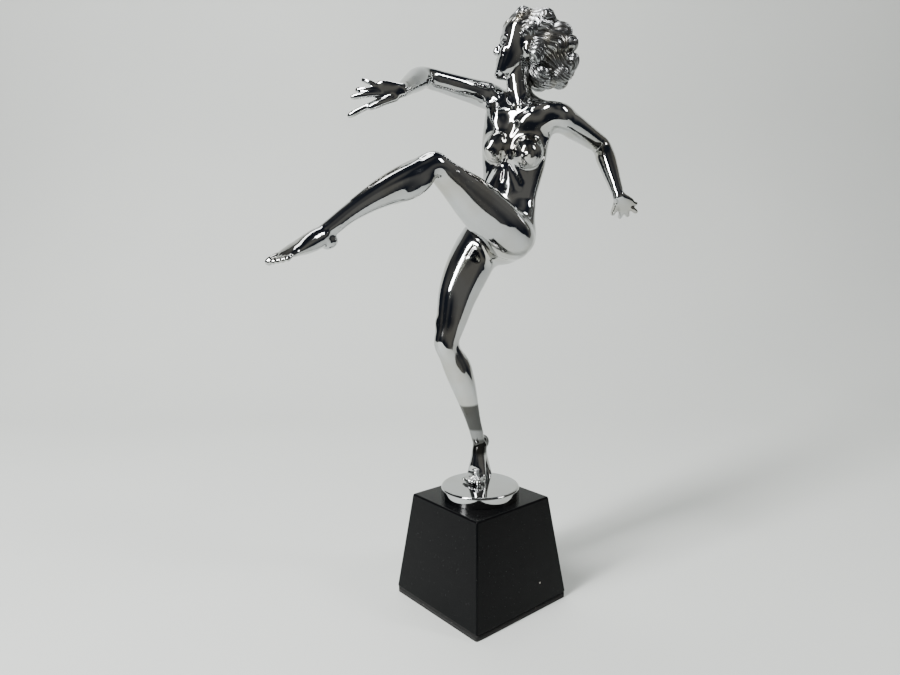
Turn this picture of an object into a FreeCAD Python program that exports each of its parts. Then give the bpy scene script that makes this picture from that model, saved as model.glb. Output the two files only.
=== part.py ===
"""Hood ornament: a chromed dancer on a round seat, clamped to a lacquered display plinth.

Millimetres.  +Z is up and the origin is the centre of the felt's underside.  The plinth's faces are
square with X and Y.  The dancer faces -Y, so her left is +X and her right is -X.
"""
import FreeCAD, Part
import math
import os

V = FreeCAD.Vector
UP = V(0, 0, 1)

# ---------------------------------------------------------------- driving dimensions
PLINTH_TOP = 62.0
PLINTH_FOOT = 78.4
PLINTH_TALL = 64.0
PLINTH_EDGE = 1.0
FELT_THICK = 3.5
FELT_INSET = 0.4
SEAT_RADIUS = 25.0
SEAT_THICK = 7.2
SEAT_LIP = 1.4
SIDE = V(1, 0, 0)

FIGURE = 300.0                      # the dancer's height if she stood upright
THIGH = 0.243 * FIGURE
SHANK = 0.246 * FIGURE
UPPER_ARM = 0.166 * FIGURE
FOREARM = 0.145 * FIGURE

STUD_RADIUS = 2.5                   # M5
STUD_IN_SEAT = 5.0
STUD_END = 7.0                      # height of its lower end
POCKET_RADIUS = 9.0
POCKET_DEPTH = 12.0
WASHER_RADIUS = 6.5
WASHER_THICK = 1.0
SPRING_WASHER_RADIUS = 4.6
SPRING_WASHER_THICK = 1.3
NUT_ACROSS_FLATS = 8.0
NUT_TALL = 4.0
FOOT_SCREW_RADIUS = 1.25            # M2.5, countersunk
FOOT_SCREW_HEAD = 2.4
FOOT_SCREW_AT = V(-5.5, 2.5, 0)
FOOT_SCREW_BITE = 7.5
DOWEL_RADIUS = 1.6
DOWEL_HALF = 5.0

SEAT_Z = FELT_THICK + PLINTH_TALL
DISC_TOP = SEAT_Z + SEAT_THICK


# ---------------------------------------------------------------- directions and joints
def toward(heading, lift):
    """Unit vector: heading in degrees from straight ahead (-Y) to her left (+X), lift above level."""
    h, e = math.radians(heading), math.radians(lift)
    return V(math.sin(h) * math.cos(e), -math.cos(h) * math.cos(e), math.sin(e))


FACE_WAY = toward(-40, 12)          # where the face looks
CHEST_AHEAD = toward(28, 5)         # the chest is turned to her left, away from the face
HIP_R = V(-13, 14, 233)
HIP_L = V(18.5, 12, 231)
SHOULDER_R = V(-10.5, 20.2, 319.7)
SHOULDER_L = V(33.2, 31.3, 302.9)
NECK = V(11.5, 24, 311)
HEAD = V(10.0, 27.5, 345.0)

KNEE_R = HIP_R + toward(-2, -66.6) * THIGH
ANKLE_R = KNEE_R + toward(172, -70.2) * SHANK
KNEE_L = HIP_L + toward(1.4, 30.4) * THIGH
ANKLE_L = KNEE_L + toward(-7.6, -29.8) * SHANK
ELBOW_R = SHOULDER_R + toward(-7.8, 6.8) * UPPER_ARM
WRIST_R = ELBOW_R + toward(35.9, -23.4) * FOREARM
ELBOW_L = SHOULDER_L + toward(183.1, -14.8) * UPPER_ARM
WRIST_L = ELBOW_L + toward(61.6, -52.6) * FOREARM

BALL_REACH = 20.5                   # ankle to the ball of the foot
BALL_RISE = 2.6                     # middle of the standing foot's ball above the seat
TOE_DROP = 1.0
TOES = ((5.2, 7.0, 2.0), (1.75, 7.6, 1.45), (-0.95, 7.0, 1.4), (-3.35, 6.0, 1.35), (-5.5, 4.8, 1.3))
FOOT_R_HEADING = 24
FOOT_R_LIFT = math.degrees(math.asin((DISC_TOP + BALL_RISE - ANKLE_R.z) / BALL_REACH))
FOOT_R_WAY = toward(FOOT_R_HEADING, FOOT_R_LIFT)        # standing on its ball, the heel raised
FOOT_L_WAY = toward(9, -23)
HAND_R_WAY = toward(-41, -3)
HAND_L_WAY = toward(187, -30)
PALM_R_SIDE = V(0, 0, -1)           # from the little finger towards the first finger
PALM_L_SIDE = V(-0.62, -0.57, -0.54)


# ---------------------------------------------------------------- solid building blocks
RING_POINTS = 12


def ring(centre, axis, ahead, half_wide, half_ahead, half_behind):
    """Closed wire round axis, an oval whose half-depth differs ahead of and behind its centre."""
    z = V(axis).normalize()
    y = (V(ahead) - z * z.dot(ahead)).normalize()
    x = y.cross(z)
    points = []
    for i in range(RING_POINTS):
        a = 2 * math.pi * i / RING_POINTS
        deep = half_ahead if math.sin(a) > 0 else half_behind
        points.append(centre + x * (half_wide * math.cos(a)) + y * (deep * math.sin(a)))
    curve = Part.BSplineCurve()
    curve.interpolate(Points=points, PeriodicFlag=True)
    return Part.Wire(curve.toShape())


def limb(rings):
    """Solid through rings, each (centre, axis, ahead, half_wide, half_ahead, half_behind)."""
    return Part.makeLoft([ring(*r) for r in rings], True, True)


def egg(centre, way, half_long, half_wide):
    """Solid of revolution of an ellipse about way, longer along way than across it."""
    oval = Part.Ellipse()
    oval.MajorRadius = half_long
    oval.MinorRadius = half_wide
    half = Part.Arc(oval, 0, math.pi).toShape()
    axis_line = Part.makeLine(half.valueAt(half.LastParameter), half.valueAt(half.FirstParameter))
    solid = Part.Face(Part.Wire([half, axis_line])).revolve(V(0, 0, 0), V(1, 0, 0), 360)
    solid.Placement = FreeCAD.Placement(centre, FreeCAD.Rotation(V(1, 0, 0), V(way)))
    return solid


def digit(root, tip, root_radius, tip_radius):
    """Finger or toe: a taper with a round end."""
    way = tip - root
    length = way.Length
    way.normalize()
    taper = Part.makeCone(root_radius, tip_radius, length, root, way)
    return taper.fuse(Part.makeSphere(tip_radius * 1.02, tip))


def fused(shapes):
    whole = shapes[0]
    for shape in shapes[1:]:
        whole = whole.fuse(shape)
    return whole


def rod(low, high, radius):
    return Part.makeCylinder(radius, (high - low).Length, low, high - low)


def dowel(point, way):
    way = V(way).normalize()
    return rod(point - way * DOWEL_HALF, point + way * DOWEL_HALF, DOWEL_RADIUS)


# ---------------------------------------------------------------- the castings
THIGH_R_WAY = (KNEE_R - HIP_R).normalize()
THIGH_L_WAY = (KNEE_L - HIP_L).normalize()
ARM_R_WAY = (ELBOW_R - SHOULDER_R).normalize()
ARM_L_WAY = (ELBOW_L - SHOULDER_L).normalize()
NECK_WAY = (HEAD + toward(-40, 0) * 3 + UP * -17 - NECK).normalize()
LEG_CUT = HIP_L + THIGH_L_WAY * 20
ARM_R_CUT = SHOULDER_R + ARM_R_WAY * 14
ARM_L_CUT = SHOULDER_L + ARM_L_WAY * 13
NECK_CUT = NECK + NECK_WAY * 9
# half-width and half-depth ahead and behind, shared by both sides of a joint
ARM_AT_CUT = (7.5, 8.0, 7.9)
LEG_AT_CUT = (14.9, 13.3, 15.7)
NECK_AT_CUT = (7.3, 7.5, 7.7)
ARM_R_FRONT = toward(60, 10)
ARM_L_FRONT = toward(100, 20)
THIGH_L_FRONT = toward(180, 60)


def thigh_ring(hip, way, front, bow, at, wide, ahead, behind):
    """Section of a thigh, at millimetres below the hip; bow is how far its middle stands forward."""
    centre = hip + way * at + front * (bow * math.sin(math.pi * max(at, 0) / THIGH))
    return (centre, way, front, wide, ahead, behind)


def shank_rings(knee, ankle, front, bow, knee_back):
    way = (ankle - knee).normalize()
    sections = ((8, 7.9, 8.0, knee_back + 0.8), (20, 9.0, 7.6, 10.4), (33, 8.0, 6.7, 8.8),
                (46, 6.0, 5.5, 6.2), (58, 4.8, 4.9, 4.6), (SHANK, 4.4, 4.6, 4.2))
    return [(knee + way * at + front * (bow * math.sin(math.pi * at / SHANK)), way, front, *size)
            for at, *size in sections]


def raised_leg():
    shank_way = (ANKLE_L - KNEE_L).normalize()
    bend = (THIGH_L_WAY + shank_way).normalize()
    shank_front = toward(0, 60)
    middle = (THIGH_L_FRONT + shank_front).normalize()
    sections = ((30, 14.0, 13.3, 14.3), (44, 12.0, 12.6, 11.6), (57, 10.2, 10.2, 8.0), (66, 8.8, 8.8, 6.2))
    leg = limb([
        (LEG_CUT, THIGH_L_WAY, THIGH_L_FRONT, *LEG_AT_CUT),
        *[thigh_ring(HIP_L, THIGH_L_WAY, THIGH_L_FRONT, 0.5, *s) for s in sections],
        (KNEE_L, bend, middle, 8.1, 8.6, 5.4),
        *shank_rings(KNEE_L, ANKLE_L, shank_front, 3.3, 5.4),
    ])
    return fused([leg] + foot(ANKLE_L, FOOT_L_WAY, FOOT_L_WAY, SIDE * -1))


def foot(ankle, way, toe_way, side):
    """Heel, sole and toes; the sole runs along way, the toes along toe_way, side is the big toe's."""
    side = (side - way * side.dot(way)).normalize()
    sole_way = side.cross(way)
    if sole_way.z > 0:
        sole_way = sole_way * -1
    top = sole_way * -1
    heel = egg(ankle - way * 2.2 + sole_way * 3.9, way, 5.2, 4.2)
    ball = ankle + way * BALL_REACH
    body = limb([
        (ankle - way * 4, way, top, 4.0, 4.2, 4.2),
        (ankle + way * 1, way, top, 4.7, 4.8, 5.2),
        (ankle + way * 8, way, top, 4.9, 4.6, 5.2),
        (ankle + way * 14.5, way, top, 5.8, 3.7, 4.2),
        (ball, (way + toe_way).normalize(), top, 6.9, 2.9, 2.7),
        (ball + toe_way * 4.5, toe_way, top, 6.2, 1.8, 1.8),
    ])
    toes = []
    for across, reach, radius in TOES:
        root = ball + toe_way * 2 + side * across - UP * TOE_DROP
        toes.append(digit(root, root + toe_way * reach, radius, radius * 0.95))
    return [heel, body] + toes


def hand(wrist, way, side, fingers, thumb):
    """Palm and five digits; fingers and thumb are the tips' places measured from the wrist."""
    side = (side - way * side.dot(way)).normalize()
    back_way = way.cross(side)
    palm = limb([
        (wrist - way * 2, way, back_way, 3.6, 3.2, 3.2),
        (wrist + way * 4, way, back_way, 4.9, 2.9, 2.9),
        (wrist + way * 10, way, back_way, 5.8, 2.3, 2.3),
        (wrist + way * 12.5, way, back_way, 5.2, 1.8, 1.8),
    ])
    pieces = [palm]
    for i, tip in enumerate(fingers):
        root = wrist + way * 10 + side * ((i - 1.5) * 2.7)
        pieces.append(digit(root, wrist + tip, 1.7, 1.35))
    pieces.append(digit(wrist + way * 4 + side * 3.0, wrist + thumb, 2.0, 1.5))
    return pieces


def arm_loft(cut_at, elbow, wrist, upper_front, fore_front):
    """Upper arm from its joint face to the wrist."""
    upper = (elbow - cut_at).normalize()
    fore = (wrist - elbow).normalize()
    return limb([
        (cut_at, upper, upper_front, *ARM_AT_CUT),
        (elbow - upper * 24, upper, upper_front, 6.7, 7.3, 7.2),
        (elbow - upper * 11, upper, upper_front, 6.2, 6.5, 6.5),
        (elbow, upper + fore, upper_front, 6.3, 6.0, 6.2),
        (elbow + fore * 11, fore, fore_front, 6.8, 6.2, 6.4),
        (elbow + fore * 20, fore, fore_front, 6.1, 5.5, 5.6),
        (elbow + fore * 32, fore, fore_front, 4.8, 4.2, 4.3),
        (wrist, fore, fore_front, 3.9, 3.4, 3.4),
    ])


def right_arm():
    left = HAND_R_WAY
    fingers = [left * 20.5 + UP * 7, left * 23.5 + UP * 1.8, left * 26 - UP * 2, left * 28 - UP * 11.2]
    thumb = left * 16.5 - UP * 8.6 + toward(50, 0) * 3.6
    arm = arm_loft(ARM_R_CUT, ELBOW_R, WRIST_R, ARM_R_FRONT, ARM_R_FRONT)
    return fused([arm] + hand(WRIST_R, HAND_R_WAY, PALM_R_SIDE, fingers, thumb))


def left_arm():
    fingers = [V(1.1, 16.5, -3.5), V(1.3, 16.0, -8.5), V(-3.0, 13.5, -10.5), V(-6.5, 10.5, -11.5)]
    thumb = V(-7.6, 4.5, -9.6)
    arm = arm_loft(ARM_L_CUT, ELBOW_L, WRIST_L, ARM_L_FRONT, V(1, 0.1, 0.6))
    return fused([arm] + hand(WRIST_L, HAND_L_WAY, PALM_L_SIDE, fingers, thumb))


def head():
    """Skull and jaw, the wavy bob blown back over them, a nose and the upper neck."""
    side = FACE_WAY.cross(UP).normalize()
    crown_way = side.cross(FACE_WAY).normalize()

    def level(rise, forward, half_wide, half_deep):
        centre = HEAD + crown_way * rise + FACE_WAY * forward
        return (centre, crown_way, FACE_WAY, half_wide, half_deep, half_deep)

    skull = limb([
        level(-20.5, 10.5, 4.5, 3.5),
        level(-17.5, 8.5, 7.5, 6.5),
        level(-12, 5.0, 10.0, 10.0),
        level(-5, 2.0, 12.5, 13.5),
        level(3, -0.5, 13.5, 15.0),
        level(11, -1.5, 13.0, 15.0),
        level(17, -2.5, 9.0, 11.0),
        level(19.5, -2.5, 3.0, 4.0),
    ])
    bob = limb([
        level(-20, -15.0, 8.0, 7.0),
        level(-16, -16.5, 13.5, 12.5),
        level(-7, -14.5, 16.5, 17.5),
        level(2, -11.0, 17.0, 18.5),
        level(12, -7.5, 15.5, 17.5),
        level(19, -4.0, 10.5, 11.5),
        level(22.5, -1.5, 4.0, 5.0),
    ])
    nose_tip = HEAD + FACE_WAY * 15.5 - crown_way * 5.0
    nose = digit(HEAD + FACE_WAY * 12.5 + crown_way * 0.5, nose_tip, 1.5, 1.8)
    upper_neck = limb([
        (NECK_CUT, NECK_WAY, FACE_WAY, *NECK_AT_CUT),
        (NECK_CUT + NECK_WAY * 16, NECK_WAY, FACE_WAY, 7.8, 7.1, 8.8),
    ])
    return fused([skull, bob, upper_neck, nose])


def shoulder_and_stub(inner, joint, out_way, arm_way, arm_front, cut_at):
    """Collar out to the shoulder, its round muscle, and the stub that the arm is pinned to."""
    ahead = toward(15, 0)
    return [
        limb([(inner, out_way, ahead, 7.0, 7.5, 9.5), (joint, out_way, ahead, 7.6, 7.6, 7.6)]),
        egg(joint + arm_way * 2.5, arm_way, 10.8, 9.4),
        limb([(joint, arm_way, arm_front, 8.4, 8.6, 8.5), (cut_at, arm_way, arm_front, *ARM_AT_CUT)]),
    ]


def torso():
    """Hips to collar, with the stubs that the neck, the arms and the raised leg are pinned to."""
    ahead = toward(0, 0)
    lean = V(0.18, 0, 0.98)
    tilt = V(0.26, -0.04, 0.96)
    trunk = limb([
        (V(3, 15, 216), UP, ahead, 11.0, 9.0, 11.5),
        (V(3, 15, 225), UP, ahead, 23.0, 14.0, 19.0),
        (V(3, 15, 233), UP, ahead, 26.0, 15.0, 20.5),
        (V(3.2, 16, 241), UP, toward(2, 0), 23.8, 14.5, 17.5),
        (V(4.4, 18.1, 249), UP, toward(5, 0), 21.4, 13.6, 13.8),
        (V(5.6, 19.9, 258), lean, toward(10, 0), 19.0, 12.2, 11.8),
        (V(6.8, 20.9, 267), lean, toward(16, 2), 19.2, 12.9, 12.4),
        (V(8.0, 21.5, 278), lean, toward(23, 4), 20.4, 14.0, 13.4),
        (V(8.9, 21.8, 289), tilt, CHEST_AHEAD, 21.4, 14.4, 14.6),
        (V(10.3, 23.0, 299), tilt, CHEST_AHEAD, 21.8, 13.0, 14.8),
        (V(11.2, 23.8, 306.5), tilt, CHEST_AHEAD, 19.4, 9.8, 12.4),
        (V(11.8, 24.2, 312), tilt, CHEST_AHEAD, 12.6, 8.4, 9.8),
        (V(12, 24.4, 315.5), tilt, CHEST_AHEAD, 7.5, 7.0, 8.0),
    ])
    neck_stub = limb([
        (NECK - NECK_WAY * 5, NECK_WAY, FACE_WAY, 11.5, 8.5, 10.5),
        (NECK, NECK_WAY, FACE_WAY, 8.6, 7.8, 9.0),
        (NECK_CUT, NECK_WAY, FACE_WAY, *NECK_AT_CUT),
    ])
    right_shoulder = shoulder_and_stub(V(3, 23, 312), SHOULDER_R, V(-0.8, -0.25, 0.42), ARM_R_WAY,
                                       ARM_R_FRONT, ARM_R_CUT)
    left_shoulder = shoulder_and_stub(V(21, 27, 306), SHOULDER_L, V(0.93, 0.30, -0.18), ARM_L_WAY,
                                      ARM_L_FRONT, ARM_L_CUT)
    leg_l_stub = limb([
        (HIP_L - THIGH_L_WAY * 7, THIGH_L_WAY, THIGH_L_FRONT, 10.5, 11.0, 12.0),
        (HIP_L + THIGH_L_WAY * 3, THIGH_L_WAY, THIGH_L_FRONT, 14.4, 12.6, 15.6),
        (LEG_CUT, THIGH_L_WAY, THIGH_L_FRONT, *LEG_AT_CUT),
    ])
    breasts = [egg(V(7.4, 8.6, 285.4) + toward(8, -4) * 1.6, toward(8, -4), 9.6, 9.2),
               egg(V(23.6, 17.4, 281.2) + toward(46, -4) * 1.6, toward(46, -4), 9.6, 9.2)]
    return [trunk, neck_stub, *right_shoulder, *left_shoulder, leg_l_stub, *breasts]


def standing_leg():
    shank_way = (ANKLE_R - KNEE_R).normalize()
    thigh_front = toward(0, 23)
    shank_front = toward(8, 20)
    sections = ((-7, 10.5, 11.0, 12.0), (3, 14.4, 12.6, 15.6), (15, 15.2, 13.2, 16.2),
                (30, 14.0, 13.3, 14.3), (44, 12.0, 12.6, 11.6), (57, 10.2, 10.2, 9.6), (66, 8.8, 8.8, 7.8))
    leg = limb([
        *[thigh_ring(HIP_R, THIGH_R_WAY, thigh_front, 3.6, *s) for s in sections],
        (KNEE_R, THIGH_R_WAY + shank_way, thigh_front + shank_front, 8.1, 8.6, 7.0),
        *shank_rings(KNEE_R, ANKLE_R, shank_front, -2.2, 7.0),
    ])
    sole = foot(ANKLE_R, FOOT_R_WAY, toward(FOOT_R_HEADING, 0), toward(FOOT_R_HEADING + 90, 0))
    return [leg] + sole


# ---------------------------------------------------------------- seat, plinth and fixings
HEEL_FOOT = V(-12, 18.5, SEAT_Z)
HEEL_TOP = V(-13.5, 15.5, 95)


def heel_post():
    """Thin post under the raised heel, riveted through the seat."""
    low = V(HEEL_FOOT.x, HEEL_FOOT.y, DISC_TOP)
    spigot = rod(HEEL_FOOT, low + UP * 0.5, 1.0)
    shaft = limb([
        (low, UP, SIDE, 2.4, 2.4, 2.4),
        (low + UP * 3, UP, SIDE, 1.7, 1.7, 1.7),
        (low + (HEEL_TOP - low) * 0.6, UP, SIDE, 1.5, 1.5, 1.5),
        (HEEL_TOP, UP, SIDE, 2.0, 2.0, 2.0),
    ])
    return spigot.fuse(shaft)


def foot_screw():
    slot = Part.makeBox(8, 0.6, 0.7, V(FOOT_SCREW_AT.x - 4, FOOT_SCREW_AT.y - 0.3, SEAT_Z))
    return foot_screw_space().cut(slot).removeSplitter()


def foot_screw_space():
    """The screw without its slot: countersunk head and shank."""
    low = V(FOOT_SCREW_AT.x, FOOT_SCREW_AT.y, SEAT_Z)
    head_tall = FOOT_SCREW_HEAD - FOOT_SCREW_RADIUS
    screw_head = Part.makeCone(FOOT_SCREW_HEAD, FOOT_SCREW_RADIUS, head_tall, low, UP)
    return screw_head.fuse(Part.makeCylinder(FOOT_SCREW_RADIUS, SEAT_THICK + FOOT_SCREW_BITE, low, UP))


def seat():
    """Turned disc with a rounded top edge, tapped underneath for the stud."""
    disc = Part.makeCylinder(SEAT_RADIUS, SEAT_THICK, V(0, 0, SEAT_Z), UP)
    rims = [e for e in disc.Edges if abs(e.BoundBox.ZMin - DISC_TOP) < 1e-3
            and abs(e.BoundBox.ZMax - DISC_TOP) < 1e-3]
    disc = disc.makeFillet(SEAT_LIP, rims)
    tapped = Part.makeCylinder(STUD_RADIUS, STUD_IN_SEAT, V(0, 0, SEAT_Z), UP)
    rivet_hole = rod(HEEL_FOOT, HEEL_FOOT + UP * (SEAT_THICK + 1), 1.0)
    return disc.cut(tapped).cut(foot_screw_space()).cut(rivet_hole)


def square_wire(side, z):
    h = side / 2
    corners = [V(-h, -h, z), V(h, -h, z), V(h, h, z), V(-h, h, z), V(-h, -h, z)]
    return Part.makePolygon(corners)


def plinth():
    """Tapered lacquered block, bored for the stud and counterbored for its nut."""
    foot_wire, top_wire = square_wire(PLINTH_FOOT, FELT_THICK), square_wire(PLINTH_TOP, SEAT_Z)
    block = Part.makeLoft([foot_wire, top_wire], True, True)
    block = block.makeFillet(PLINTH_EDGE, block.Edges)
    bore = Part.makeCylinder(STUD_RADIUS + 0.4, PLINTH_TALL, V(0, 0, FELT_THICK), UP)
    pocket = Part.makeCylinder(POCKET_RADIUS, POCKET_DEPTH, V(0, 0, FELT_THICK), UP)
    return block.cut(bore).cut(pocket)


def felt_pad():
    side = PLINTH_FOOT - 2 * FELT_INSET
    pad = Part.makeBox(side, side, FELT_THICK, V(-side / 2, -side / 2, 0))
    corners = [e for e in pad.Edges if e.BoundBox.ZLength > FELT_THICK / 2]
    return pad.makeFillet(PLINTH_EDGE, corners)


def clamp_parts():
    """Stud, flat washer, spring washer and nut, from the seat down into the plinth's pocket."""
    roof = FELT_THICK + POCKET_DEPTH
    stud = Part.makeCylinder(STUD_RADIUS, SEAT_Z + STUD_IN_SEAT - STUD_END, V(0, 0, STUD_END), UP)
    washer_z = roof - WASHER_THICK
    washer = Part.makeCylinder(WASHER_RADIUS, WASHER_THICK, V(0, 0, washer_z), UP)
    washer = washer.cut(Part.makeCylinder(STUD_RADIUS + 0.15, WASHER_THICK, V(0, 0, washer_z), UP))
    spring_z = washer_z - SPRING_WASHER_THICK
    spring = Part.makeCylinder(SPRING_WASHER_RADIUS, SPRING_WASHER_THICK, V(0, 0, spring_z), UP)
    spring = spring.cut(Part.makeCylinder(STUD_RADIUS + 0.1, SPRING_WASHER_THICK, V(0, 0, spring_z), UP))
    split = Part.makeBox(SPRING_WASHER_RADIUS + 1, 0.8, SPRING_WASHER_THICK, V(0, -0.4, spring_z))
    spring = spring.cut(split)
    nut_z = spring_z - NUT_TALL
    corner = NUT_ACROSS_FLATS / math.sqrt(3)
    hexagon = Part.makePolygon([V(corner * math.cos(math.radians(60 * i)),
                                  corner * math.sin(math.radians(60 * i)), nut_z) for i in range(7)])
    nut = Part.Face(hexagon).extrude(UP * NUT_TALL)
    nut = nut.cut(Part.makeCylinder(STUD_RADIUS, NUT_TALL, V(0, 0, nut_z), UP))
    return {"clamp_stud": stud, "flat_washer": washer, "spring_washer": spring, "clamp_nut": nut}


# ---------------------------------------------------------------- assembly
def build():
    dowels = {
        "neck_dowel": dowel(NECK_CUT, NECK_WAY),
        "right_arm_dowel": dowel(ARM_R_CUT, ARM_R_WAY),
        "left_arm_dowel": dowel(ARM_L_CUT, ARM_L_WAY),
        "raised_leg_dowel": dowel(LEG_CUT, THIGH_L_WAY),
    }
    limbs = {"head": head(), "right_arm": right_arm(), "left_arm": left_arm(), "raised_leg": raised_leg()}
    post = heel_post()
    trunk, *joined = torso()
    body = fused([trunk] + standing_leg() + joined)
    for piece in limbs.values():
        body = body.cut(piece)
    for pin in dowels.values():
        body = body.cut(pin)
    seat_space = Part.makeCylinder(SEAT_RADIUS, SEAT_THICK, V(0, 0, SEAT_Z), UP)
    body = body.cut(seat_space).cut(foot_screw_space())
    post = post.cut(body)
    nodes = {"body_and_standing_leg": body, "heel_post": post}
    for name, pin_name in (("head", "neck_dowel"), ("right_arm", "right_arm_dowel"),
                           ("left_arm", "left_arm_dowel"), ("raised_leg", "raised_leg_dowel")):
        nodes[name] = limbs[name].cut(dowels[pin_name])
    nodes.update(dowels)
    nodes["foot_screw"] = foot_screw()
    nodes["seat_disc"] = seat()
    nodes["plinth"] = plinth()
    nodes["felt_pad"] = felt_pad()
    nodes.update(clamp_parts())
    return nodes


os.makedirs("parts", exist_ok=True)
for node, shape in build().items():
    print(node, "solids", len(shape.Solids), "valid", shape.isValid(), "volume", round(shape.Volume, 1))
    shape.exportStep("parts/" + node + ".step")
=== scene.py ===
"""Looks of the dancer hood ornament: chromed castings, turned seat, lacquered plinth and felt."""
import math

import bmesh
import bpy
import numpy as np
from mathutils import Matrix, Vector


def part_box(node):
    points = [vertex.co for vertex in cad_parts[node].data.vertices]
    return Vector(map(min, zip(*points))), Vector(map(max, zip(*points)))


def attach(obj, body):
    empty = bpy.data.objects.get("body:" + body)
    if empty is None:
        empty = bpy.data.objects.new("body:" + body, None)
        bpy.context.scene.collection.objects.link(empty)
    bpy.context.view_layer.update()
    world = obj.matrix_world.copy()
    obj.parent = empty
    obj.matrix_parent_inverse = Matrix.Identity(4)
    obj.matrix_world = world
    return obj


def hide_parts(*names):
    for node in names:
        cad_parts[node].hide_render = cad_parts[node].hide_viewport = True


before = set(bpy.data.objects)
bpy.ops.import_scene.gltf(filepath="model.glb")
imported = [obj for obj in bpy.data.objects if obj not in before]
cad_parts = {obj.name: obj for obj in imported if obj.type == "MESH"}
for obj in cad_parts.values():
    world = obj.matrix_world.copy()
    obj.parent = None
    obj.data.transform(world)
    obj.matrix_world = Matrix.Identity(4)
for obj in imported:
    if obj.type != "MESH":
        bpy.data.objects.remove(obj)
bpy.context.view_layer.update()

MM = 0.001


def V(x, y, z):
    return Vector((x, y, z))


UP = V(0, 0, 1)
SIDE = V(1, 0, 0)


# ---- pose, in millimetres
def toward(heading, lift):
    """Unit vector: heading in degrees from straight ahead (-Y) to her left (+X), lift above level."""
    h, e = math.radians(heading), math.radians(lift)
    return V(math.sin(h) * math.cos(e), -math.cos(h) * math.cos(e), math.sin(e))


FIGURE = 300.0
THIGH = 0.243 * FIGURE
SHANK = 0.246 * FIGURE
UPPER_ARM = 0.166 * FIGURE
FOREARM = 0.145 * FIGURE
SEAT_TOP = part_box("seat_disc")[1].z / MM

HIP_R = V(-13, 14, 233)
HIP_L = V(18.5, 12, 231)
SHOULDER_R = V(-10.5, 20.2, 319.7)
SHOULDER_L = V(33.2, 31.3, 302.9)
NECK = V(11.5, 24, 311)
HEAD = V(10.0, 27.5, 345.0)
FACE_WAY = toward(-40, 12)

KNEE_R = HIP_R + toward(-2, -66.6) * THIGH
ANKLE_R = KNEE_R + toward(172, -70.2) * SHANK
KNEE_L = HIP_L + toward(1.4, 30.4) * THIGH
ANKLE_L = KNEE_L + toward(-7.6, -29.8) * SHANK
ELBOW_R = SHOULDER_R + toward(-7.8, 6.8) * UPPER_ARM
WRIST_R = ELBOW_R + toward(35.9, -23.4) * FOREARM
ELBOW_L = SHOULDER_L + toward(183.1, -14.8) * UPPER_ARM
WRIST_L = ELBOW_L + toward(61.6, -52.6) * FOREARM

FOOT_R_HEADING = 24
BALL_REACH = 20.5
BALL_RISE = 2.6
FOOT_R_LIFT = math.degrees(math.asin((SEAT_TOP + BALL_RISE - ANKLE_R.z) / BALL_REACH))
FOOT_R_WAY = toward(FOOT_R_HEADING, FOOT_R_LIFT)
FOOT_L_WAY = toward(9, -23)
HAND_R_WAY = toward(-41, -3)
HAND_L_WAY = toward(187, -30)

THIGH_L_WAY = (KNEE_L - HIP_L).normalized()
ARM_R_WAY = (ELBOW_R - SHOULDER_R).normalized()
ARM_L_WAY = (ELBOW_L - SHOULDER_L).normalized()
NECK_WAY = (HEAD + toward(-40, 0) * 3 + UP * -17 - NECK).normalized()
# the castings are parted square to each limb, this far along it
LEG_CUT = HIP_L + THIGH_L_WAY * 20
ARM_R_CUT = SHOULDER_R + ARM_R_WAY * 14
ARM_L_CUT = SHOULDER_L + ARM_L_WAY * 13
NECK_CUT = NECK + NECK_WAY * 9


# ---- lofted forms
def key(centre, axis, front_way, wide, front, back):
    """One cross-section of a limb: half-width to the sides, half-depth to the front and to the back."""
    return (*centre, *axis, *front_way, wide, front, back)


def keys_along(axis, front_way, *sections):
    """Cross-sections that share their axis and front, each (centre, wide, front, back)."""
    return [key(centre, axis, front_way, *size) for centre, *size in sections]


def smooth_rows(keys, step):
    """Cross-sections every step millimetres on a smooth course through the keys."""
    rows = np.array(keys, float)
    gaps = np.maximum(np.linalg.norm(np.diff(rows[:, :3], axis=0), axis=1), 0.3)
    at = np.concatenate([[0], np.cumsum(gaps)])
    slopes = np.gradient(rows, at, axis=0)
    out = []
    for i, gap in enumerate(gaps):
        count = max(2, round(gap / step))
        for k in range(count):
            t = k / count
            out.append((2 * t**3 - 3 * t**2 + 1) * rows[i] + (t**3 - 2 * t**2 + t) * gap * slopes[i]
                       + (3 * t**2 - 2 * t**3) * rows[i + 1] + (t**3 - t**2) * gap * slopes[i + 1])
    out.append(rows[-1])
    return out


def cross_section(bm, row, segments):
    centre, axis, front_way = Vector(row[0:3]), Vector(row[3:6]).normalized(), Vector(row[6:9])
    wide, front, back = [max(value, 0.15) for value in row[9:12]]
    front_way = (front_way - axis * front_way.dot(axis)).normalized()
    across = front_way.cross(axis)
    made = bmesh.ops.create_circle(bm, segments=segments, radius=1)["verts"]
    edges = list({edge for vert in made for edge in vert.link_edges})
    for vert in made:
        x, y = vert.co.x, vert.co.y
        vert.co = centre + across * (x * wide) + front_way * (y * (front if y > 0 else back))
    return edges


def loft(bm, keys, step=1.6, segments=36):
    """Closed skin through the keys, made on its own and then added to bm."""
    form = bmesh.new()
    loops = [cross_section(form, row, segments) for row in smooth_rows(keys, step)]
    for lower, upper in zip(loops, loops[1:]):
        bmesh.ops.bridge_loops(form, edges=lower + upper)
    for end in (loops[0], loops[-1]):
        bmesh.ops.contextual_create(form, geom=end)
    add_to(bm, form)


def add_to(bm, form):
    mesh = bpy.data.meshes.new("form")
    form.to_mesh(mesh)
    form.free()
    bm.from_mesh(mesh)
    bpy.data.meshes.remove(mesh)


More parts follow.
